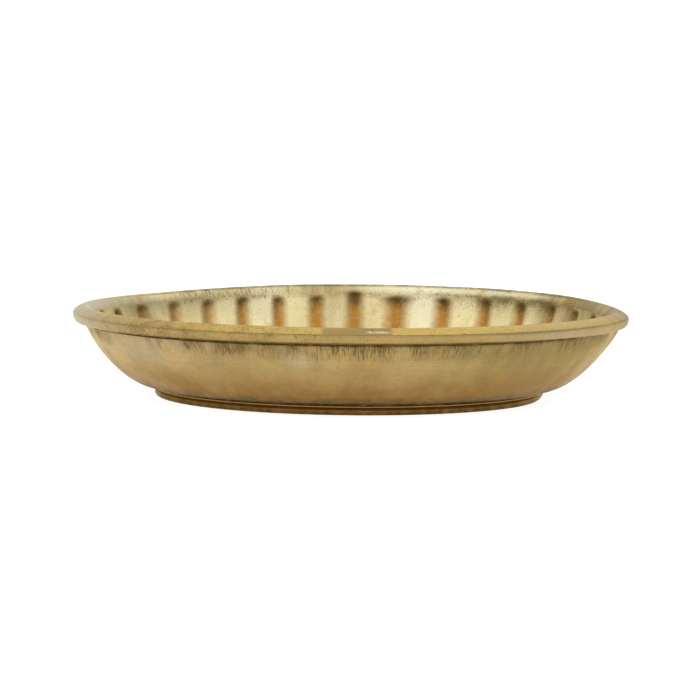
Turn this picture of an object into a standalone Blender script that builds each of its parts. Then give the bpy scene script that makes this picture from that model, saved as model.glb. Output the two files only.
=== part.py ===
"""Brass urli bowl: a shallow dish, fluted inside and turned smooth outside.

The bowl stands on a low turned foot ring and carries a thick rim band on a shoulder at
its mouth. Solder holds both rings, in a seam that shows as a fine dark line. Every piece
is turned about the Z axis, and the origin is the centre of the foot's resting plane.
Lengths are in metres.
"""

import math

import bpy
from mathutils import Vector

MM = 0.001

# Driving dimensions
RIM_RADIUS = 34.925 * MM  # over the rim's rounded face: the bowl is 69.85 mm (2.75 in) across
HEIGHT = 11.3 * MM  # from the foot's resting plane to the rim's ridge
FOOT_RADIUS = 24.65 * MM  # over the foot's upper bead
SEAM = 0.25 * MM  # height of the soldered seams
CLEARANCE = 0.05 * MM  # between solder and brass
FLUTES = 35
FLUTE_DEPTH = 0.55 * MM

# Turning resolution: four steps to a flute, so that each valley has a row of points
STEPS_PER_FLUTE = 4
STEPS = FLUTES * STEPS_PER_FLUTE
SOLDER_STEPS = STEPS // 2
FLUTE_PITCH = math.tau / FLUTES

# The bowl's body
UNDERSIDE = 1.45 * MM  # height of the flat underside
BODY_FOOT = FOOT_RADIUS + 0.65 * MM  # where the body curve leaves the underside
SHOULDER = HEIGHT - 2.15 * MM  # height of the ledge that carries the rim band
BODY_TOP = RIM_RADIUS - 1.3 * MM  # body radius at the shoulder
FLOOR = UNDERSIDE + 1.35 * MM  # height of the bowl's inside floor
FLOOR_RADIUS = 20.5 * MM
TONGUE_TOP = HEIGHT - 1.25 * MM  # top of the thin wall inside the rim band
TONGUE_INNER = RIM_RADIUS - 2.7 * MM
TONGUE_OUTER = RIM_RADIUS - 1.9 * MM

# The rim band
BAND_GAP = 0.1 * MM  # between the band and the tongue that it sits over
BAND_BASE = SHOULDER + SEAM
RIDGE_RADIUS = RIM_RADIUS - 1.5 * MM
FACET_EDGE = (RIM_RADIUS - 0.08 * MM, HEIGHT - 0.7 * MM)
FACE_GROOVE = (RIM_RADIUS - 0.1 * MM, HEIGHT - 0.76 * MM)
FACE_EDGE = (RIM_RADIUS - 0.02 * MM, HEIGHT - 0.83 * MM)
FACE_WIDEST = (RIM_RADIUS, HEIGHT - 1.0 * MM)
FACE_BOTTOM = (RIM_RADIUS - 0.62 * MM, BAND_BASE)

# The foot ring
FOOT_INNER = 22.2 * MM
FOOT_TOP = UNDERSIDE - SEAM
FOOT_BEAD = 0.45 * MM
FOOT_BEAD_CENTRE = (FOOT_RADIUS - 0.6 * MM, FOOT_BEAD)
FOOT_COLLAR = 0.14 * MM  # radius of the thin bead at the top of the foot
FOOT_COLLAR_CENTRE = (FOOT_RADIUS - FOOT_COLLAR, FOOT_TOP - FOOT_COLLAR)


def clear_scene():
    for obj in list(bpy.data.objects):
        bpy.data.objects.remove(obj, do_unlink=True)


def brass(name, colour, roughness):
    material = bpy.data.materials.new(name)
    material.use_nodes = True
    shader = material.node_tree.nodes["Principled BSDF"]
    shader.inputs["Base Color"].default_value = (*colour, 1.0)
    shader.inputs["Metallic"].default_value = 1.0
    shader.inputs["Roughness"].default_value = roughness
    return material


def arc(centre, radius, start, end, segments):
    """Points (r, z) along an arc, from start to end degrees, measured from +r towards +z."""
    points = []
    for i in range(segments + 1):
        angle = math.radians(start + (end - start) * i / segments)
        points.append((centre[0] + radius * math.cos(angle), centre[1] + radius * math.sin(angle)))
    return points


def bend(start, start_slope, start_handle, end, end_slope, end_handle, segments):
    """Points (r, z) along a cubic Bezier curve, given its slopes in degrees and its handles."""
    leave = Vector((math.cos(math.radians(start_slope)), math.sin(math.radians(start_slope))))
    arrive = Vector((math.cos(math.radians(end_slope)), math.sin(math.radians(end_slope))))
    p0 = Vector(start)
    p3 = Vector(end)
    p1 = p0 + leave * start_handle
    p2 = p3 - arrive * end_handle
    points = []
    for i in range(segments + 1):
        t = i / segments
        s = 1 - t
        points.append(tuple(s**3 * p0 + 3 * s * s * t * p1 + 3 * s * t * t * p2 + t**3 * p3))
    return points


def turned(name, profile, closed, steps=STEPS):
    """An object turned about Z from a profile of (r, z) points that runs down its outer side."""
    mesh = bpy.data.meshes.new(name)
    edges = [(i, i + 1) for i in range(len(profile) - 1)]
    if closed:
        edges.append((len(profile) - 1, 0))
    mesh.from_pydata([(r, 0, z) for r, z in profile], edges, [])
    obj = bpy.data.objects.new(name, mesh)
    screw = obj.modifiers.new("Turning", "SCREW")
    screw.axis = "Z"
    screw.angle = math.tau
    screw.steps = steps
    screw.render_steps = steps
    screw.use_merge_vertices = True
    screw.merge_threshold = 0.00001
    screw.use_smooth_shade = True
    return obj


def body_curve():
    """The body's outside, from the underside's edge up to the shoulder."""
    return bend((BODY_FOOT, UNDERSIDE), 0, 2.8 * MM, (BODY_TOP, SHOULDER), 65, 3.75 * MM, 6)


def hollow_curve():
    """The bowl's inside, from the edge of the floor up to the top of the tongue."""
    start = (FLOOR_RADIUS, FLOOR)
    return bend(start, 0, 5.6 * MM, (TONGUE_INNER, TONGUE_TOP), 76, 5.2 * MM, 7)


def fade(value, low, high):
    """0 below low, 1 above high, and smooth between them."""
    t = min(1, max(0, (value - low) / (high - low)))
    return t * t * (3 - 2 * t)


def press_flutes(mesh):
    """Presses the narrow valleys between the lobes into the inner wall, away from the hollow."""
    normals = [vertex.normal.copy() for vertex in mesh.vertices]
    for vertex, normal in zip(mesh.vertices, normals):
        radial = Vector((vertex.co.x, vertex.co.y, 0))
        if normal.dot(radial) > -0.02 * radial.length:
            continue
        # Valleys stand half a pitch off +X, one row of turned points wide at the bottom
        turn = math.atan2(radial.y, radial.x) / FLUTE_PITCH + 0.5
        from_valley = abs(turn - round(turn))
        across = max(0, 1 - from_valley * STEPS_PER_FLUTE)
        along = fade(radial.length, FLOOR_RADIUS + 1 * MM, FLOOR_RADIUS + 4.5 * MM)
        along *= 1 - fade(vertex.co.z, TONGUE_TOP - 1.3 * MM, TONGUE_TOP - 0.2 * MM)
        vertex.co -= normal * FLUTE_DEPTH * across * along


def bowl_shell():
    """The fluted cup: floor, wall, the tongue inside the rim band, shoulder and underside."""
    tongue = [(TONGUE_OUTER, TONGUE_TOP), (TONGUE_OUTER, SHOULDER)]
    floor_centre = [(0, FLOOR)]
    underside_centre = [(0, UNDERSIDE)]
    profile = floor_centre + hollow_curve() + tongue + body_curve()[::-1] + underside_centre
    blank = turned("bowl_blank", profile, closed=False)
    bpy.context.scene.collection.objects.link(blank)
    bpy.context.view_layer.update()
    evaluated = blank.evaluated_get(bpy.context.evaluated_depsgraph_get())
    mesh = bpy.data.meshes.new_from_object(evaluated)
    bpy.data.objects.remove(blank, do_unlink=True)
    mesh.name = "bowl_shell"
    press_flutes(mesh)
    return bpy.data.objects.new("bowl_shell", mesh)


def rim_band():
    """The rim moulding: a sloping facet over a rounded face, capping the bowl's tongue."""
    facet = bend((RIDGE_RADIUS, HEIGHT), 0, 0.45 * MM, FACET_EDGE, -58, 0.35 * MM, 4)
    face = bend(FACE_WIDEST, -90, 0.4 * MM, FACE_BOTTOM, -172, 0.35 * MM, 4)
    channel_radius = TONGUE_OUTER + BAND_GAP
    channel_top = TONGUE_TOP + BAND_GAP
    channel = [
        (channel_radius, BAND_BASE),
        (channel_radius, channel_top),
        (TONGUE_INNER, channel_top),
    ]
    lip_base = (TONGUE_INNER, channel_top)
    inner_lip = bend(lip_base, 80, 0.6 * MM, (RIDGE_RADIUS, HEIGHT), 0, 0.5 * MM, 3)[1:-1]
    outer = facet + [FACE_GROOVE, FACE_EDGE] + face
    return turned("rim_band", outer + channel + inner_lip, closed=True)


def foot_ring():
    """The foot: a collar, a fine groove and a round bead, open in the middle."""
    collar = arc(FOOT_COLLAR_CENTRE, FOOT_COLLAR, 90, -90, 3)
    bead = arc(FOOT_BEAD_CENTRE, FOOT_BEAD, 62, -90, 5)
    inner = [(FOOT_INNER, 0), (FOOT_INNER, FOOT_TOP)]
    return turned("foot_ring", collar + bead + inner, closed=True)


def solder_ring(name, inner, outer, low, high):
    """Solder in a seam between two turned pieces, clear of both, with a rounded outer edge."""
    bottom = low + CLEARANCE
    top = high - CLEARANCE
    half = (top - bottom) / 2
    edge = arc((outer - half, bottom + half), half, 90, -90, 2)
    return turned(name, edge + [(inner, bottom), (inner, top)], closed=True, steps=SOLDER_STEPS)


def rim_solder_seam():
    return solder_ring(
        "rim_solder_seam", TONGUE_OUTER + BAND_GAP, BODY_TOP + 0.1 * MM, SHOULDER, BAND_BASE
    )


def foot_solder_seam():
    inner = FOOT_INNER + 0.2 * MM
    outer = FOOT_RADIUS + 0.1 * MM
    return solder_ring("foot_solder_seam", inner, outer, FOOT_TOP, UNDERSIDE)


def main():
    clear_scene()
    collection = bpy.data.collections.new("brass_urli_bowl")
    bpy.context.scene.collection.children.link(collection)
    axis = bpy.data.objects.new("turning_axis", None)
    collection.objects.link(axis)

    cast_brass = brass("cast_brass", (0.62, 0.46, 0.20), 0.38)
    turned_brass = brass("turned_brass", (0.56, 0.41, 0.17), 0.34)
    solder = brass("solder", (0.16, 0.09, 0.03), 0.6)
    pieces = (
        (bowl_shell(), cast_brass),
        (rim_band(), turned_brass),
        (foot_ring(), turned_brass),
        (rim_solder_seam(), solder),
        (foot_solder_seam(), solder),
    )
    for piece, material in pieces:
        piece.data.materials.clear()
        piece.data.materials.append(material)
        piece.parent = axis
        collection.objects.link(piece)


main()
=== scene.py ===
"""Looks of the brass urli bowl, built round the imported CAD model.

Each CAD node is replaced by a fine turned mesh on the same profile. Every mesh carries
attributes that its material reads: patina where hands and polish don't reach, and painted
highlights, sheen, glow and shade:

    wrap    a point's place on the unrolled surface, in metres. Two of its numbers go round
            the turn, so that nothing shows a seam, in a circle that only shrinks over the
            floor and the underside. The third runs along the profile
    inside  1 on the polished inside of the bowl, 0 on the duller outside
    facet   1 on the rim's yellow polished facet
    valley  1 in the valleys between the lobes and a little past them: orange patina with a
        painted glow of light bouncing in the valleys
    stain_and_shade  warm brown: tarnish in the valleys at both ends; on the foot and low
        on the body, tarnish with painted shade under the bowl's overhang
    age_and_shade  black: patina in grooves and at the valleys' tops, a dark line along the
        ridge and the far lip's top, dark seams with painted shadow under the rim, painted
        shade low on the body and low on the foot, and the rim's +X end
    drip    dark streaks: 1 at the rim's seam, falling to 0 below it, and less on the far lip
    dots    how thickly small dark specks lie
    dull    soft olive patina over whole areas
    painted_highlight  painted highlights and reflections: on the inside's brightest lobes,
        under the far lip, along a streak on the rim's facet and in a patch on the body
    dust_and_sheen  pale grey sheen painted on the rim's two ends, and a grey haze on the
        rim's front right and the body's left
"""

import math

import bpy
import numpy as np
from mathutils import Euler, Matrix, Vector


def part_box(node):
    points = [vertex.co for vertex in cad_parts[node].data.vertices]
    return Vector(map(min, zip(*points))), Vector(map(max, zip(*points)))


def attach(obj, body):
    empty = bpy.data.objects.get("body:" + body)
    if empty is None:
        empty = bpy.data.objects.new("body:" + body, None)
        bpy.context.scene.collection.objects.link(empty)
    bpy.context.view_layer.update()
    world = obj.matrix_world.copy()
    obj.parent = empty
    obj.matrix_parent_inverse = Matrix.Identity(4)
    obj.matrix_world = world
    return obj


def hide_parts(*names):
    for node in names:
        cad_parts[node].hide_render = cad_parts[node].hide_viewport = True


MM = 0.001
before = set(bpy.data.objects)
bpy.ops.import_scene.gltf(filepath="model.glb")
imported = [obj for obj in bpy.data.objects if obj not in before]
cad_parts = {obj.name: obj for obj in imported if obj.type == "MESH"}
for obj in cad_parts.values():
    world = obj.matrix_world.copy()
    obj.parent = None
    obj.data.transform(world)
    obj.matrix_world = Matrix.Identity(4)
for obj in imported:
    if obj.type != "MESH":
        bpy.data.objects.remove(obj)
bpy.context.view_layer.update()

# Sizes read from the CAD
CLEARANCE = 0.05 * MM  # between the CAD's solder and its brass
RIM_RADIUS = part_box("rim_band")[1].x
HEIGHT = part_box("rim_band")[1].z
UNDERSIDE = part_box("bowl_shell")[0].z
BODY_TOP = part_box("bowl_shell")[1].x
TONGUE_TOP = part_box("bowl_shell")[1].z
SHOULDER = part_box("rim_solder_seam")[0].z - CLEARANCE
BAND_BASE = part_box("rim_solder_seam")[1].z + CLEARANCE
FOOT_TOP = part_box("foot_ring")[1].z
FOOT_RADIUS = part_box("foot_ring")[1].x

# Sizes that follow the CAD's profiles
FLOOR = UNDERSIDE + 1.35 * MM
FLOOR_RADIUS = 20.5 * MM
LIP_RADIUS = RIM_RADIUS - 2.7 * MM
LIP_BASE = TONGUE_TOP + 0.1 * MM
LIP_SLOPE = 76  # degrees, where the inner wall runs on into the rim's lip
RIDGE_RADIUS = RIM_RADIUS - 1.5 * MM
CHANNEL_RADIUS = RIM_RADIUS - 1.8 * MM
GROOVE_HEIGHT = HEIGHT - 0.76 * MM  # of the fine groove under the rim's facet
BODY_FOOT = FOOT_RADIUS + 0.65 * MM

# The flutes: narrow valleys between slightly crowned lobes
FLUTES = 35
PITCH = math.tau / FLUTES
FIRST_VALLEY = math.radians(97.7)
HIGH_VALLEY = 1  # valleys are counted from the first one towards +X
FLARED_VALLEY = 2
VALLEY_DEPTH = 0.26 * MM
VALLEY_HALF_WIDTH = 1.1 * MM
VALLEY_TOP = TONGUE_TOP - 0.1 * MM
VALLEY_END = 0.7 * MM  # length of a valley's rounded end
# The orange valley colour is patina with a painted glow of light bouncing in the valleys, so it
# spreads wider than the valleys.
VALLEY_GLOW = 0.6 * MM  # how much wider the orange colour is than the valley itself
LOBE_CROWN = 0.07 * MM

# The turned meshes
STEPS = FLUTES * 20
POLE_RADIUS = 0.4 * MM  # where an open profile stops and a fan closes it on the axis
SHARP_ANGLE = math.radians(50)
WRAP_RADIUS = 30 * MM
MASKS = ("inside", "facet", "valley", "stain_and_shade", "age_and_shade", "drip", "dots", "dull", "painted_highlight", "dust_and_sheen")

# Azimuths, from +X towards +Y
FRONT = math.radians(-90)
LEFT = math.radians(180)
RIGHT = 0.0

# The camera stands in front and looks down by about five degrees
CAMERA_PLACE = (0, -0.6, 0.06075)
CAMERA_AIM = (-0.00005, 0, 0.00574)
CAMERA_ROLL = 0.0101  # radians
CAMERA_LENS = 246.3  # millimetres
CAMERA_SENSOR = 36  # millimetres


# ---------------------------------------------------------------- shapes by formula


def fade(value, low, high):
    """0 at low, 1 at high, and smooth between them."""
    t = np.clip((value - low) / (high - low), 0, 1)
    return t * t * (3 - 2 * t)


def plateau(value, start, full, still_full, end):
    """0 up to start, 1 from full to still_full, and 0 again from end on."""
    return fade(value, start, full) * fade(value, end, still_full)


def stretch(degrees, start, end):
    """1 between two azimuths in degrees, and 0 outside them."""
    edge = 0.573  # degrees, half the width of its soft edge
    return plateau(degrees, start - edge, start + edge, end - edge, end + edge)


def bump(value, centre, width):
    """A bell curve that is 1 at its centre."""
    return np.exp(-(((value - centre) / width) ** 2))


def around(azimuth, centre, width):
    """A bump in azimuth that doesn't mind where the turn starts."""
    away = (azimuth - centre + math.pi) % math.tau - math.pi
    return bump(away, 0, width)


def arc(centre, radius, start, end, spacing=0.08 * MM):
    """Points (r, z) along an arc, from start to end degrees, measured from +r towards +z."""
    count = max(4, round(abs(math.radians(end - start)) * radius / spacing))
    angles = np.radians(np.linspace(start, end, count + 1))
    return np.stack([centre[0] + radius * np.cos(angles), centre[1] + radius * np.sin(angles)], 1)


def bend(start, start_slope, start_handle, end, end_slope, end_handle, count):
    """Points (r, z) along a cubic Bezier curve, given its slopes in degrees and its handles."""
    leave = np.array([math.cos(math.radians(start_slope)), math.sin(math.radians(start_slope))])
    arrive = np.array([math.cos(math.radians(end_slope)), math.sin(math.radians(end_slope))])
    p0 = np.array(start, float)
    p3 = np.array(end, float)
    p1 = p0 + leave * start_handle
    p2 = p3 - arrive * end_handle
    t = np.linspace(0, 1, count + 1)[:, None]
    s = 1 - t
    return s**3 * p0 + 3 * s * s * t * p1 + 3 * s * t * t * p2 + t**3 * p3


def straight(start, end, count):
    t = np.linspace(0, 1, count + 1)[:, None]
    return (1 - t) * np.array(start, float) + t * np.array(end, float)


def rim_sway(azimuth):
    """How far the hand-finished rim stands off a level ring, in metres."""
    level = 0.14 * np.sin(azimuth) ** 2
    low_left = -0.38 * around(azimuth, math.radians(140), 0.5)
    high_right = 0.08 * around(azimuth, math.radians(50), 0.5)
    low_right = -0.22 * around(azimuth, math.radians(8), 0.35)
    return (level + low_left + high_right + low_right) * MM


def body_sway(azimuth, z):
    """The body's top sits a little towards +X under the rim."""
    return 0.18 * MM * np.cos(azimuth)[:, None] * bump(z, SHOULDER, 2.6 * MM)[None, :]


def leaning(azimuth, r):
    """Azimuths that lean at the back, so that the valleys stand upright as seen from -Y."""
    back = fade(np.sin(azimuth), 0.45, 0.85) * (0.65 - 0.25 * np.cos(azimuth))
    upright = np.arccos(np.clip(r[None, :] * np.cos(azimuth)[:, None] / LIP_RADIUS, -1, 1))
    return azimuth[:, None] + back[:, None] * (upright - azimuth[:, None])


def valleys(azimuth, r, z, grow=0.0):
    """How deep each point lies in a valley, from 0 to 1. The valleys can grow by a length.

    The valleys stop in a rounded end below the rim. They were cut by hand, so their pitch,
    width and height wander a little, most of all in two that lie near +Y.
    """
    turn = (FIRST_VALLEY - leaning(azimuth, r)) / PITCH
    drift = 0.21 * bump(turn, 1.5, 1.5) - 0.31 * bump(turn, -3.2, 2.0)
    turn = turn + drift
    number = np.round(turn).astype(int)
    across = (turn - number) * PITCH * r[None, :]
    random = np.random.default_rng(5)
    width = random.uniform(0.85, 1.15, FLUTES)[number % FLUTES] * VALLEY_HALF_WIDTH + grow
    top = VALLEY_TOP + random.uniform(-0.2, 0.1, FLUTES)[number % FLUTES] * MM + 0.6 * grow
    top = top + 0.45 * MM * (number == HIGH_VALLEY)
    opening = fade(z, TONGUE_TOP - 1.65 * MM, TONGUE_TOP - 0.25 * MM)[None, :]
    flare = 1 + (number == FLARED_VALLEY) * (0.25 + 0.6 * opening)
    sideways = across / (width * flare)
    upward = np.clip((z[None, :] - top) / VALLEY_END + 1, 0, 1)
    return np.cos(np.clip(np.hypot(sideways, upward), 0, 1) * math.pi / 2) ** 1.4


def lobes(azimuth):
    """1 on the middle of each lobe, 0 in the valleys."""
    turn = (FIRST_VALLEY - azimuth) / PITCH
    return 0.5 - 0.5 * np.cos(turn * math.tau)


# ---------------------------------------------------------------- turned meshes


class Turned:
    """A surface turned about Z from a profile (r, z), which each point can leave by a little.

    offset moves a point along the profile's normal, out of the brass, raised moves it up,
    and drawn_in moves it towards the axis. s is the distance along the profile.
    """

    def __init__(self, profile, closed):
        self.closed = closed
        self.r, self.z = profile.T
        self.normal = self._normals(profile)
        lengths = np.linalg.norm(np.diff(profile, axis=0), axis=1)
        self.s = np.concatenate([[0], np.cumsum(lengths)])
        self.azimuth = np.linspace(-math.pi, math.pi, STEPS, endpoint=False)
        self.degrees = np.degrees(self.azimuth)[:, None]
        shape = (STEPS, len(profile))
        self.offset = np.zeros(shape)
        self.raised = np.zeros(shape)
        self.drawn_in = np.zeros(shape)
        self.masks = {name: np.zeros(shape) for name in MASKS}

    def _normals(self, profile):
        """Normals (r, z) that point out of the brass, from a profile that runs down its outside."""
        step = np.roll(profile, -1, 0) - profile
        step /= np.linalg.norm(step, axis=1)[:, None]
        if not self.closed:
            step[-1] = step[-2]
        tangent = step + np.roll(step, 1, 0)
        if not self.closed:
            tangent[0] = step[0]
        tangent /= np.linalg.norm(tangent, axis=1)[:, None]
        return np.stack([-tangent[:, 1], tangent[:, 0]], 1)

    def unevenness(self, turns, per_mm, size, seed):
        """Slow hand-made waves: up to so many turns round, and so many along a millimetre."""
        random = np.random.default_rng(seed)
        waves = 16
        total = np.zeros_like(self.offset)
        for _ in range(waves):
            number = random.integers(1, turns + 1)
            along = random.uniform(-per_mm, per_mm) / MM
            phase = random.uniform(0, math.tau)
            total += np.cos(number * self.azimuth[:, None] + along * self.s[None, :] + phase)
        return total * size / math.sqrt(waves / 2)

    def add_inside_patina_and_highlights(self, rows):
        """Puts the patina and the painted highlights of the polished inside on the profile's rows
        that belong to it.
        """
        self.masks["inside"] += rows
        for mask, values in inside_patina_and_highlights(self.degrees, self.z).items():
            self.masks[mask] += values * rows

    def build(self, name):
        points, wrap = self._points()
        faces, poles = self._faces(np.arange(self.offset.size).reshape(self.offset.shape))
        on_axis = np.zeros((len(poles), 2))
        points = np.concatenate([points.reshape(-1, 3), np.column_stack([on_axis, self.z[poles]])])
        wrap = np.concatenate([wrap.reshape(-1, 3), np.column_stack([on_axis, self.s[poles]])])
        mesh = bpy.data.meshes.new(name)
        mesh.from_pydata(points.tolist(), [], faces)
        mesh.shade_smooth()
        mesh.set_sharp_from_angle(angle=SHARP_ANGLE)
        wrap_layer = mesh.attributes.new("wrap", "FLOAT_VECTOR", "POINT")
        wrap_layer.data.foreach_set("vector", wrap.astype(np.float32).ravel())
        for mask, values in self.masks.items():
            flat = np.concatenate([values.ravel(), values[0, poles]])
            layer = mesh.attributes.new(mask, "FLOAT", "POINT")
            layer.data.foreach_set("value", np.clip(flat, 0, 1).astype(np.float32))
        obj = bpy.data.objects.new(name, mesh)
        bpy.context.scene.collection.objects.link(obj)
        return obj

    def _points(self):
        r = self.r + self.offset * self.normal[:, 0] - self.drawn_in
        z = self.z + self.offset * self.normal[:, 1] + self.raised
        z = z + rim_sway(self.azimuth)[:, None] * fade(self.z, 0.3 * HEIGHT, HEIGHT)
        cos = np.cos(self.azimuth)[:, None]
        sin = np.sin(self.azimuth)[:, None]
        flat = np.ones_like(r)
        circle = WRAP_RADIUS * np.minimum(1, self.r / FLOOR_RADIUS) * flat
        wrap = np.stack([circle * cos, circle * sin, self.s * flat], 2)
        return np.stack([r * cos, r * sin, z], 2), wrap

    def _faces(self, index):
        """Quads between the rows and, on an open profile, fans that close it on the axis."""
        after = np.roll(index, -1, 0)
        if self.closed:
            corners = (index, after, np.roll(after, -1, 1), np.roll(index, -1, 1))
            return np.stack(corners, 2).reshape(-1, 4).tolist(), []
        corners = (index[:, :-1], after[:, :-1], after[:, 1:], index[:, 1:])
        faces = np.stack(corners, 2).reshape(-1, 4).tolist()
        top = index.size
        faces += [[top, b, a] for a, b in zip(index[:, 0].tolist(), after[:, 0].tolist())]
        faces += [[top + 1, a, b] for a, b in zip(index[:, -1].tolist(), after[:, -1].tolist())]
        return faces, [0, -1]


# ---------------------------------------------------------------- patina shared by pieces


def inside_patina_and_highlights(degrees, z):
    """Masks of the polished inside, which run on from the wall to the rim's lip: patina, and painted
    highlights on the brightest lobes and under the far lip.
    """
    wall = fade(z, FLOOR + 0.3 * MM, FLOOR + 2.3 * MM)
    upper = fade(z, TONGUE_TOP - 2.45 * MM, TONGUE_TOP)
    lip = fade(z, TONGUE_TOP - 0.8 * MM, TONGUE_TOP + 0.1 * MM)
    speckled = bump(degrees, 50, 22)
    right_end = plateau(degrees, -30, 0, 35, 45)
    left_end = plateau(degrees, 138, 148, 160, 180)
    tarnished = 0.44 * bump(degrees, 93, 8) + 0.6 * right_end + 0.55 * left_end
    # Painted highlight just under the far lip's ridge
    lip_highlight = plateau(degrees, 25, 50, 82, 97) * bump(z, HEIGHT - 0.5 * MM, 0.32 * MM)
    # Painted highlights on the two brightest lobes
    polished = bump(degrees, 73, 5) + 0.6 * bump(degrees, 111, 5)
    joint = plateau(degrees, 20, 40, 76, 96) * bump(z, TONGUE_TOP, 0.4 * MM)
    dull_lip = 0.32 * lip * bump(degrees, 107, 24)
    return {
        "dots": (upper * (0.2 + 0.75 * speckled) + 0.15 * lip) * (1 - 0.7 * lip_highlight),
        "dull": wall * tarnished + dull_lip + 0.3 * upper * speckled + 0.4 * joint,
        "drip": 0.4 * lip * bump(degrees, 118, 22),
        "painted_highlight": 0.5 * wall * polished + 0.43 * lip_highlight,
    }


def seam_dirt_and_shadow(azimuth):
    """How black a seam is painted: a dark joint with painted shadow under the overhang, fading out
    towards the bowl's two ends, where the edge catches light.
    """
    from_end = np.degrees(np.arccos(np.abs(np.cos(azimuth))))
    return 0.1 + 0.9 * fade(from_end, 24, 44)


# ---------------------------------------------------------------- fluted bowl


def bowl():
    floor = straight((POLE_RADIUS, FLOOR), (FLOOR_RADIUS, FLOOR), 14)
    rise = (LIP_RADIUS, LIP_BASE)
    wall = bend(floor[-1], 0, 5.6 * MM, rise, LIP_SLOPE, 5.2 * MM, 54)[1:]
    tongue_radius = LIP_RADIUS + 0.8 * MM
    tongue = straight((tongue_radius, LIP_BASE - 0.02 * MM), (tongue_radius, SHOULDER), 2)
    body = bend((BODY_FOOT, UNDERSIDE), 0, 2.8 * MM, (BODY_TOP, SHOULDER), 65, 3.75 * MM, 46)[::-1]
    underside = straight(body[-1], (POLE_RADIUS, UNDERSIDE), 12)[1:]
    shell = Turned(np.concatenate([floor, wall, tongue, body, underside]), closed=False)

    row = np.arange(len(shell.r))
    inner_rows = len(floor) + len(wall)
    body_start = inner_rows + len(tongue)
    inside = row < inner_rows
    outside = (row >= body_start) & (row < body_start + len(body))
    # The wall's last row keeps the wall's normal, which the corner would turn
    shell.normal[inner_rows - 1] = shell.normal[inner_rows - 2]

    press_flutes(shell, inside)
    shell.offset += shell.unevenness(9, 0.5, 0.010 * MM, 3) * outside
    shell.offset += shell.unevenness(14, 0.8, 0.006 * MM, 4) * inside * fade(shell.r, 2 * MM, 16 * MM)
    shell.offset += body_sway(shell.azimuth, shell.z) * outside
    valley_patina_and_glow(shell, inside)
    shell.add_inside_patina_and_highlights(inside)
    body_patina(shell, outside, shell.s - shell.s[body_start])
    return shell.build("fluted_bowl")


def fluted(shell, inside):
    """Where the flutes are: they fade out low on the wall, before the floor."""
    return fade(shell.r, FLOOR_RADIUS + 1 * MM, FLOOR_RADIUS + 4.5 * MM) * inside


def press_flutes(shell, inside):
    flutes = fluted(shell, inside)
    crown = lobes(shell.azimuth)[:, None] * fade(shell.z, TONGUE_TOP, TONGUE_TOP - 2 * MM)
    shell.offset -= VALLEY_DEPTH * valleys(shell.azimuth, shell.r, shell.z) * flutes
    shell.offset += LOBE_CROWN * crown * flutes


def valley_patina_and_glow(shell, inside):
    """Orange valleys, patina with a painted glow that spreads past their edges, dark patina at the
    top, and browner towards the two ends of the mouth.
    """
    groove = valleys(shell.azimuth, shell.r, shell.z, VALLEY_GLOW) * fluted(shell, inside)
    browned = fade(shell.degrees, 112, 128) + fade(shell.degrees, 46, 30)
    valley_end = fade(shell.z, TONGUE_TOP - 1.5 * MM, TONGUE_TOP - 0.5 * MM)
    shell.masks["valley"] += groove * (1 - 0.22 * browned)
    shell.masks["stain_and_shade"] += 0.25 * groove * browned
    shell.masks["age_and_shade"] += 0.4 * groove * valley_end


def body_patina(shell, outside, depth):
    """The body's outside. depth is the way down the profile from the seam under the rim."""
    degrees = shell.degrees
    z = shell.z
    smeared = plateau(degrees, -85, -62, -30, -12)
    streaky = 0.88 + 0.4 * bump(degrees, -121, 10) - 0.25 * smeared
    tarnished = plateau(degrees, -86, -50, -35, -8)
    # A dark joint with painted shadow just below the rim's overhang
    seam_line_and_shadow = bump(depth, 0, 0.2 * MM) * 0.75 * seam_dirt_and_shadow(shell.azimuth[:, None])
    # Painted shade: black low on the body, where it meets the foot under the overhang
    foot_edge = fade(z, UNDERSIDE + 1.7 * MM, UNDERSIDE)
    # Painted reflection: a pale patch on the body's front left
    body_reflection = bump(degrees, -101, 3.5) * bump(z, SHOULDER - 1.75 * MM, 1.1 * MM)
    hazy = bump(degrees, -143, 18) * fade(z, UNDERSIDE + 1.55 * MM, SHOULDER - 1.15 * MM)
    shell.masks["drip"] += outside * fade(depth, 2.9 * MM, 0) * streaky
    shell.masks["dull"] += outside * 0.4 * fade(depth, 3.2 * MM, 1.2 * MM) * smeared
    shell.masks["dull"] += outside * (0.8 * tarnished + 0.45 * bump(degrees, -113, 9))
    # Warm brown darker towards the bottom: tarnish with painted shade under the bowl's overhang
    shell.masks["stain_and_shade"] += outside * fade(z, SHOULDER - 2.35 * MM, UNDERSIDE) ** 1.1
    shell.masks["painted_highlight"] += outside * 0.16 * body_reflection
    shell.masks["dust_and_sheen"] += outside * 0.3 * hazy
    shell.masks["age_and_shade"] += outside * (seam_line_and_shadow + 0.7 * foot_edge)


# ---------------------------------------------------------------- faceted rim


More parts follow.
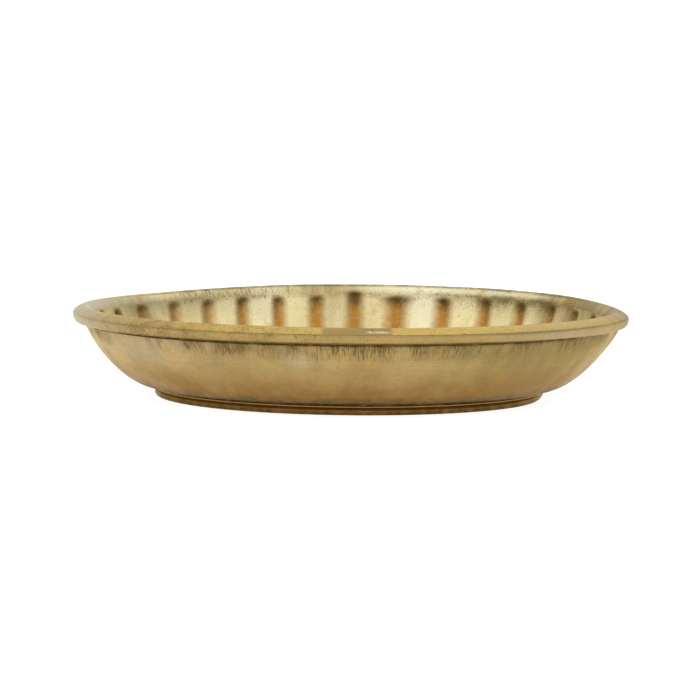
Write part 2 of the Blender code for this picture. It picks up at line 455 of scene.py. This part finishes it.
def rim():
    facet_edge = (RIM_RADIUS - 0.08 * MM, HEIGHT - 0.70 * MM)
    groove = (RIM_RADIUS - 0.10 * MM, GROOVE_HEIGHT)
    face_edge = (RIM_RADIUS - 0.02 * MM, HEIGHT - 0.83 * MM)
    widest = (RIM_RADIUS, HEIGHT - 1.0 * MM)
    bottom = (RIM_RADIUS - 0.62 * MM, BAND_BASE - 0.12 * MM)
    facet = bend((RIDGE_RADIUS, HEIGHT), 0, 0.45 * MM, facet_edge, -58, 0.35 * MM, 16)
    face = [
        straight(facet_edge, groove, 2)[1:],
        straight(groove, face_edge, 2)[1:],
        straight(face_edge, widest, 4)[1:],
        bend(widest, -90, 0.5 * MM, bottom, -172, 0.4 * MM, 20)[1:],
    ]
    # The band's underside and the channel that sits over the bowl's tongue
    hidden = [
        straight(bottom, (BODY_TOP + 0.25 * MM, BAND_BASE), 2)[1:],
        straight((BODY_TOP + 0.25 * MM, BAND_BASE), (CHANNEL_RADIUS, BAND_BASE), 2)[1:],
        straight((CHANNEL_RADIUS, BAND_BASE), (CHANNEL_RADIUS, LIP_BASE), 3)[1:],
        straight((CHANNEL_RADIUS, LIP_BASE), (LIP_RADIUS, LIP_BASE), 3)[1:],
    ]
    lip_base = (LIP_RADIUS, LIP_BASE)
    lip = bend(lip_base, LIP_SLOPE, 0.6 * MM, (RIDGE_RADIUS, HEIGHT), 0, 0.5 * MM, 22)[1:-1]
    band = Turned(np.concatenate([facet, *face, *hidden, lip]), closed=True)

    row = np.arange(len(band.r))
    facet_rows = row < len(facet)
    outer_rows = row < len(facet) + sum(len(part) for part in face)
    lip_start = len(band.r) - len(lip) - 1
    lip_rows = row >= lip_start
    # The lip's first row keeps the lip's normal, which the corner would turn
    band.normal[lip_start] = band.normal[lip_start + 1]

    low_face = fade(band.z, HEIGHT - 1.1 * MM, BAND_BASE + 0.1 * MM) * outer_rows
    band.offset -= VALLEY_DEPTH * valleys(band.azimuth, band.r, band.z) * lip_rows
    band.offset += band.unevenness(16, 0.9, 0.008 * MM, 11) * (outer_rows | lip_rows)
    band.raised += 0.2 * MM * around(band.azimuth, FRONT, 1.0)[:, None] * low_face
    lip_patina(band, lip_rows)
    dark_lines(band, outer_rows)
    outer_patina(band, facet_rows, outer_rows)
    return band.build("faceted_rim")


def lip_patina(band, lip_rows):
    under_ridge = bump(band.z, HEIGHT - 0.13 * MM, 0.13 * MM) * lip_rows
    band.add_inside_patina_and_highlights(lip_rows)
    # Orange valley colour on the lip: patina with a painted glow, wider than the valleys
    band.masks["valley"] += valleys(band.azimuth, band.r, band.z, VALLEY_GLOW) * lip_rows
    band.masks["age_and_shade"] += 0.5 * under_ridge * plateau(band.degrees, 15, 40, 135, 165)


def dark_lines(band, outer_rows):
    """Black lines: along the ridge, dirt in the groove under the facet, and at the seam a dark joint
    with painted shadow under the rim's overhang.
    """
    azimuth = band.azimuth[:, None]
    ridge = bump(band.r, RIDGE_RADIUS - 0.04 * MM, 0.16 * MM) * (band.z > HEIGHT - 0.2 * MM)
    ridge = ridge * (1 - around(azimuth, LEFT, 0.75)) * (1 - around(azimuth, RIGHT, 0.6))
    groove = bump(band.z, GROOVE_HEIGHT, 0.05 * MM) * outer_rows
    groove = groove * fade(band.degrees, -130, -98)
    # A dark joint with painted shadow along the band's lower edge
    seam_line_and_shadow = outer_rows * fade(band.z, BAND_BASE + 0.12 * MM, BAND_BASE - 0.1 * MM)
    band.masks["age_and_shade"] += 0.7 * ridge + 0.3 * groove + 0.5 * seam_line_and_shadow * seam_dirt_and_shadow(azimuth)


def outer_patina(band, facet_rows, outer_rows):
    """The yellow facet with its dull stretch and a painted highlight streak, and a pale grey sheen
    painted on both ends.
    """
    azimuth = band.azimuth[:, None]
    degrees = band.degrees
    dull_stretch = stretch(degrees, -95.7, -81.8)
    # Painted highlight: a pale streak across the facet
    facet_highlight_streak = stretch(degrees, -86.7, -82.4) * bump(band.z, HEIGHT - 0.42 * MM, 0.07 * MM)
    tarnished_left = bump(degrees, -145, 28)
    pitted = around(azimuth, math.radians(-132), 0.75)
    band.masks["facet"] += facet_rows * (1 - 0.9 * dull_stretch) * (1 - 0.55 * tarnished_left)
    band.masks["dots"] += outer_rows * (0.3 + 0.6 * pitted)
    band.masks["age_and_shade"] += 0.42 * around(azimuth, RIGHT, 0.35)
    band.masks["painted_highlight"] += 0.8 * facet_highlight_streak * facet_rows
    # Painted pale grey sheen on the rim's two ends, and a grey haze at its front right
    band.masks["dust_and_sheen"] += around(azimuth, LEFT, 0.48) + 0.3 * around(azimuth, RIGHT, 0.4)
    band.masks["dust_and_sheen"] += 0.2 * bump(degrees, -42, 15) * outer_rows
    band.masks["dull"] += 0.85 * around(azimuth, RIGHT, 0.42) + 0.4 * dull_stretch * facet_rows
    band.masks["dull"] += 0.45 * bump(degrees, -70, 9) * outer_rows * ~facet_rows


# ---------------------------------------------------------------- foot and seams


def foot():
    collar_radius = 0.115 * MM
    collar = (FOOT_RADIUS - collar_radius, FOOT_TOP - collar_radius)
    bead_radius = 0.49 * MM
    bead = (FOOT_RADIUS - 0.6 * MM, bead_radius)
    inner = FOOT_RADIUS - 2.45 * MM
    parts = [
        arc(collar, collar_radius, 90, -90, 0.04 * MM),
        arc(bead, bead_radius, 52, -90),
        straight((bead[0], 0), (inner, 0), 4)[1:],
        straight((inner, 0), (inner, FOOT_TOP), 3)[1:],
        straight((inner, FOOT_TOP), (collar[0], FOOT_TOP), 4)[1:-1],
    ]
    ring = Turned(np.concatenate(parts), closed=True)
    worn_end = around(ring.azimuth, RIGHT, 0.4)[:, None] * fade(ring.z, FOOT_TOP, 0)
    ring.drawn_in += 0.5 * MM * worn_end * (ring.r > inner)
    below_collar = ring.z < FOOT_TOP - 2.2 * collar_radius
    # Warm brown tarnish, darker below the collar with painted shade under the bowl's overhang
    ring.masks["stain_and_shade"] += 0.45 + 0.5 * below_collar
    # Painted shade: black towards the foot's bottom, under the bowl's overhang
    ring.masks["age_and_shade"] += 0.1 + 0.65 * below_collar * fade(ring.z, FOOT_TOP - 0.25 * MM, 0.2 * MM)
    ring.masks["dots"] += 0.3
    return ring.build("turned_foot")


def seam(name, inner, outer, low, high, seed):
    """Solder that wets both faces of a seam, with an uneven outer edge."""
    half = (high - low) / 2
    parts = [
        arc((outer - half, low + half), half, 90, -90, 0.03 * MM),
        straight((outer - half, low), (inner, low), 3)[1:],
        straight((inner, low), (inner, high), 2)[1:],
        straight((inner, high), (outer - half, high), 3)[1:-1],
    ]
    ring = Turned(np.concatenate(parts), closed=True)
    ring.offset += ring.unevenness(90, 0.2, 0.03 * MM, seed) * (ring.r > outer - half)
    # A dark joint with painted shadow, weaker towards the bowl's two ends
    ring.masks["age_and_shade"] += seam_dirt_and_shadow(ring.azimuth)[:, None]
    return ring.build(name)


# ---------------------------------------------------------------- node helpers


class Nodes:
    """Short names for the shader nodes that the materials and the world use."""

    def __init__(self, tree):
        self.tree = tree

    def add(self, kind, **settings):
        node = self.tree.nodes.new(kind)
        for key, value in settings.items():
            setattr(node, key, value)
        return node

    def put(self, socket, value):
        if isinstance(value, bpy.types.NodeSocket):
            self.tree.links.new(value, socket)
        elif isinstance(value, tuple):
            socket.default_value = (*value, 1.0)
        else:
            socket.default_value = value

    def attribute(self, name, output="Fac"):
        return self.add("ShaderNodeAttribute", attribute_name=name).outputs[output]

    def coordinate(self, system, axis):
        """One coordinate of the point in a system such as Object."""
        split = self.add("ShaderNodeSeparateXYZ")
        self.put(split.inputs[0], self.add("ShaderNodeTexCoord").outputs[system])
        return split.outputs[axis]

    def math(self, operation, a, b):
        node = self.add("ShaderNodeMath", operation=operation)
        self.put(node.inputs[0], a)
        self.put(node.inputs[1], b)
        return node.outputs[0]

    def plus(self, a, b):
        return self.math("ADD", a, b)

    def times(self, a, b):
        return self.math("MULTIPLY", a, b)

    def limited(self, value):
        """The value, kept from 0 to 1."""
        return self.math("MINIMUM", self.math("MAXIMUM", value, 0), 1)

    def scaled(self, vector, scale):
        node = self.add("ShaderNodeMapping")
        self.put(node.inputs["Vector"], vector)
        node.inputs["Scale"].default_value = scale
        return node.outputs[0]

    def noise(self, vector, scale, detail=3.0, roughness=0.55):
        """Noise with features of about 1 / scale metres."""
        node = self.add("ShaderNodeTexNoise")
        self.put(node.inputs["Vector"], vector)
        node.inputs["Scale"].default_value = scale
        node.inputs["Detail"].default_value = detail
        node.inputs["Roughness"].default_value = roughness
        return node.outputs["Fac"]

    def ramp(self, value, low, high, to_low=0.0, to_high=1.0):
        node = self.add("ShaderNodeMapRange", interpolation_type="SMOOTHSTEP")
        self.put(node.inputs["Value"], value)
        limits = {"From Min": low, "From Max": high, "To Min": to_low, "To Max": to_high}
        for key, limit in limits.items():
            self.put(node.inputs[key], limit)
        return node.outputs[0]

    def mix(self, factor, a, b):
        """Colour a, or b where the factor is 1."""
        node = self.add("ShaderNodeMix", data_type="RGBA")
        colour_a, colour_b = node.inputs[6], node.inputs[7]
        self.put(node.inputs["Factor"], factor)
        self.put(colour_a, a)
        self.put(colour_b, b)
        return node.outputs[2]


def new_material(name):
    """A material, its nodes and its shader."""
    material = bpy.data.materials.new(name)
    material.use_nodes = True
    return material, Nodes(material.node_tree), material.node_tree.nodes["Principled BSDF"]


# ---------------------------------------------------------------- brass

POLISHED = (0.94, 0.82, 0.46)
POLISHED_DULL = (0.83, 0.70, 0.36)
GOLD = (0.64, 0.46, 0.14)
# Valley orange: patina with a painted glow
ORANGE = (0.44, 0.21, 0.035)
# Warm brown of tarnish, and of painted shade low on the body and on the foot
WARM_BROWN = (0.26, 0.13, 0.030)
UMBER = (0.15, 0.085, 0.020)
# Black of patina and dark seams, and of painted shade and shadow
NEAR_BLACK = (0.06, 0.035, 0.010)
STREAK = (0.17, 0.115, 0.040)
AMBER = (0.50, 0.28, 0.05)
PATINA = (0.30, 0.22, 0.085)
# Colour of the painted highlights and reflections
PAINTED_HIGHLIGHT = (0.95, 0.89, 0.68)
# Grey of the haze, and of the sheen painted on the rim's ends
DUST_AND_SHEEN = (0.50, 0.48, 0.42)
SPECULAR_TINT = (0.92, 0.84, 0.66)


def brass(name, bright, dull):
    """Aged brass: a polished inside, a duller outside in two tones, and patina, painted highlights,
    sheen, glow and shade by the masks.
    """
    material, n, shader = new_material(name)
    wrap = n.attribute("wrap", "Vector")
    clouds = n.ramp(n.noise(wrap, 190, 5, 0.6), 0.34, 0.66)
    run = streaks(n, wrap)
    density = speck_density(n, wrap)
    speck = n.ramp(n.plus(n.times(density, 0.22), n.noise(wrap, 6500, 1, 0.5)), 0.66, 0.76, 0.0, 0.65)
    grain = n.noise(wrap, 4300, 3, 0.7)
    rings = n.noise(n.scaled(wrap, (0.03, 0.03, 1)), 3800, 2)
    age_and_shade = n.times(n.attribute("age_and_shade"), n.ramp(n.noise(wrap, 800, 3), 0.25, 0.7, 0.6, 1.1))

    colour = metal_tones(n, wrap, clouds, bright, dull)
    # Orange valleys: patina with a painted glow
    colour = n.mix(valley_mask(n, wrap), colour, valley_tones(n, wrap))
    # Warm brown tarnish, with painted shade low on the body and on the foot
    colour = n.mix(stains_and_shade(n, wrap), colour, WARM_BROWN)
    colour = n.mix(run, colour, STREAK)
    colour = n.mix(n.ramp(density, 0.3, 1.0, 0.0, 0.45), colour, PATINA)
    colour = n.mix(speck, colour, UMBER)
    colour = n.mix(mottle(n, grain, rings), colour, UMBER)
    # Black patina, dark seams, and painted shade and shadow
    colour = n.mix(n.ramp(age_and_shade, 0.0, 1.0), colour, NEAR_BLACK)

    n.put(shader.inputs["Base Color"], colour)
    shader.inputs["Metallic"].default_value = 1.0
    n.put(shader.inputs["Specular Tint"], SPECULAR_TINT)
    dirt = n.plus(n.times(age_and_shade, 0.2), n.times(run, 0.15))
    n.put(shader.inputs["Roughness"], n.plus(n.ramp(clouds, 0, 1, 0.40, 0.32), dirt))
    n.put(shader.inputs["Normal"], relief(n, grain, rings, speck))
    return material


def metal_tones(n, wrap, clouds, bright, dull):
    """The metal with its soft patina, painted highlights, grey haze with painted sheen and amber
    blotches.
    """
    outside = n.mix(clouds, dull, bright)
    inside = n.mix(clouds, POLISHED_DULL, POLISHED)
    colour = n.mix(n.attribute("inside"), outside, inside)
    colour = n.mix(n.attribute("facet"), colour, GOLD)
    smears = n.ramp(n.noise(n.scaled(wrap, (1, 1, 0.15)), 520, 3), 0.35, 0.65, 0.7, 1.2)
    colour = n.mix(n.times(n.attribute("dull"), smears), colour, PATINA)
    # Painted highlights and reflections
    colour = n.mix(n.attribute("painted_highlight"), colour, PAINTED_HIGHLIGHT)
    # Grey haze, and painted sheen on the rim's ends
    colour = n.mix(n.attribute("dust_and_sheen"), colour, DUST_AND_SHEEN)
    blotches = n.noise(wrap, 380, 5, 0.65)
    return n.mix(n.ramp(blotches, 0.53, 0.70, 0.0, 0.5), colour, AMBER)


def valley_mask(n, wrap):
    """The valleys, with ragged edges."""
    valley = n.attribute("valley")
    ragged = n.plus(valley, n.ramp(n.noise(wrap, 1900, 3, 0.6), 0.25, 0.75, -0.1, 0.1))
    return n.times(n.limited(ragged), n.ramp(valley, 0, 0.15))


def valley_tones(n, wrap):
    """Orange low in a valley, patina with a painted glow; umber patina at its top."""
    smear = n.times(n.noise(n.scaled(wrap, (1, 1, 0.3)), 1500, 3), 1.6 * MM)
    height = n.plus(n.coordinate("Object", "Z"), smear)
    return n.mix(n.ramp(height, HEIGHT - 2.7 * MM, HEIGHT - 0.9 * MM), ORANGE, UMBER)


# Warm brown tarnish and painted shade, broken up by noise
def stains_and_shade(n, wrap):
    return n.times(n.attribute("stain_and_shade"), n.ramp(n.noise(wrap, 700, 3), 0.3, 0.7, 0.8, 1.1))


def streaks(n, wrap):
    """Fine dark hairs and a soft smudge, which run down from the seam in patches."""
    drip = n.attribute("drip")
    patches = n.ramp(n.noise(n.scaled(wrap, (1, 1, 0.3)), 300, 3), 0.36, 0.6, 0.2, 1.1)
    hairs = n.noise(n.scaled(wrap, (1, 1, 0.1)), 8500, 2, 0.6)
    hair = n.ramp(n.plus(hairs, n.times(drip, 0.2)), 0.56, 0.74, 0.0, 0.7)
    hair = n.times(hair, n.ramp(drip, 0.0, 0.3))
    smudge = n.ramp(n.noise(n.scaled(wrap, (1, 1, 0.35)), 1300, 3), 0.35, 0.65, 0.15, 0.65)
    smudge = n.times(drip, smudge)
    return n.plus(n.times(hair, patches), n.times(smudge, patches))


def speck_density(n, wrap):
    return n.times(n.attribute("dots"), n.ramp(n.noise(wrap, 420, 3), 0.35, 0.65, 0.4, 1.0))


def mottle(n, grain, rings):
    """Faint dark mottling by the cast grain and the turning rings, weaker on the inside."""
    texture = n.plus(n.times(grain, 0.7), n.times(rings, 0.3))
    weakened = n.ramp(n.attribute("inside"), 0, 1, 1.0, 0.45)
    return n.times(n.ramp(texture, 0.42, 0.62, 0.0, 0.16), weakened)


def relief(n, grain, rings, speck):
    """Cast grain and turning rings that stand proud, and specks that are pits."""
    lift = n.add("ShaderNodeBump")
    lift.inputs["Strength"].default_value = 0.4
    lift.inputs["Distance"].default_value = 0.014 * MM
    height = n.plus(n.plus(grain, n.times(rings, 0.5)), n.times(speck, -0.6))
    n.put(lift.inputs["Height"], height)
    return lift.outputs[0]


# ---------------------------------------------------------------- studio


def pale_floor():
    """A matt floor that glows, so that it stays pale round the dish's faint shadow."""
    bpy.ops.mesh.primitive_plane_add(size=8)
    floor = bpy.context.object
    floor.name = "studio_floor"
    material, n, shader = new_material("pale_floor")
    n.put(shader.inputs["Base Color"], (0.35, 0.35, 0.35))
    shader.inputs["Roughness"].default_value = 0.9
    n.put(shader.inputs["Emission Color"], (1.0, 1.0, 1.0))
    shader.inputs["Emission Strength"].default_value = 0.9
    floor.data.materials.append(material)


def light_tent():
    """A white tent whose upper sides are darker, as world light."""
    world = bpy.data.worlds.new("light_tent")
    world.use_nodes = True
    n = Nodes(world.node_tree)
    background = world.node_tree.nodes["Background"]
    n.put(background.inputs["Color"], (1.0, 1.0, 1.0))
    brightness = 1.07
    dimming = 0.68
    sideways = n.plus(n.coordinate("Generated", "X"), 0.05)
    side = n.math("POWER", n.math("ABSOLUTE", sideways, 0), 4)
    upper = n.limited(n.times(n.coordinate("Generated", "Z"), 5))
    dimmed = n.times(n.times(side, upper), dimming)
    n.put(background.inputs["Strength"], n.math("SUBTRACT", brightness, dimmed))
    bpy.context.scene.world = world
    bpy.context.scene.view_settings.view_transform = "Standard"


def camera():
    data = bpy.data.cameras.new("camera")
    data.lens = CAMERA_LENS
    data.sensor_width = CAMERA_SENSOR
    data.clip_start = 0.01
    obj = bpy.data.objects.new("camera", data)
    obj.location = CAMERA_PLACE
    look = (Vector(CAMERA_AIM) - obj.location).to_track_quat("-Z", "Y").to_matrix()
    roll = Euler((0, 0, CAMERA_ROLL)).to_matrix()
    obj.rotation_euler = (look @ roll).to_euler()
    bpy.context.scene.collection.objects.link(obj)
    bpy.context.scene.camera = obj


def place(piece, node, material):
    """The piece stands for a CAD node and takes the material it is given."""
    piece.data.materials.append(material)
    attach(piece, "root")
    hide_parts(node)


def main():
    camera()
    pale_floor()
    light_tent()
    cast = brass("cast_brass", (0.49, 0.353, 0.141), (0.375, 0.258, 0.098))
    turned = brass("turned_brass", (0.45, 0.316, 0.12), (0.40, 0.28, 0.103))
    solder = brass("seam_solder", (0.46, 0.34, 0.15), (0.36, 0.25, 0.10))
    place(bowl(), "bowl_shell", cast)
    place(rim(), "rim_band", turned)
    place(foot(), "foot_ring", turned)

    film = 0.02 * MM  # between a seam's solder and the brass, too thin to see
    rim_edge = BODY_TOP + 0.12 * MM
    foot_edge = FOOT_RADIUS + 0.12 * MM
    foot_inner = FOOT_RADIUS - 2.2 * MM
    rim_seam = seam("rim_seam", CHANNEL_RADIUS, rim_edge, SHOULDER + film, BAND_BASE - film, 21)
    foot_seam = seam("foot_seam", foot_inner, foot_edge, FOOT_TOP + film, UNDERSIDE - film, 22)
    place(rim_seam, "rim_solder_seam", solder)
    place(foot_seam, "foot_solder_seam", solder)


main()
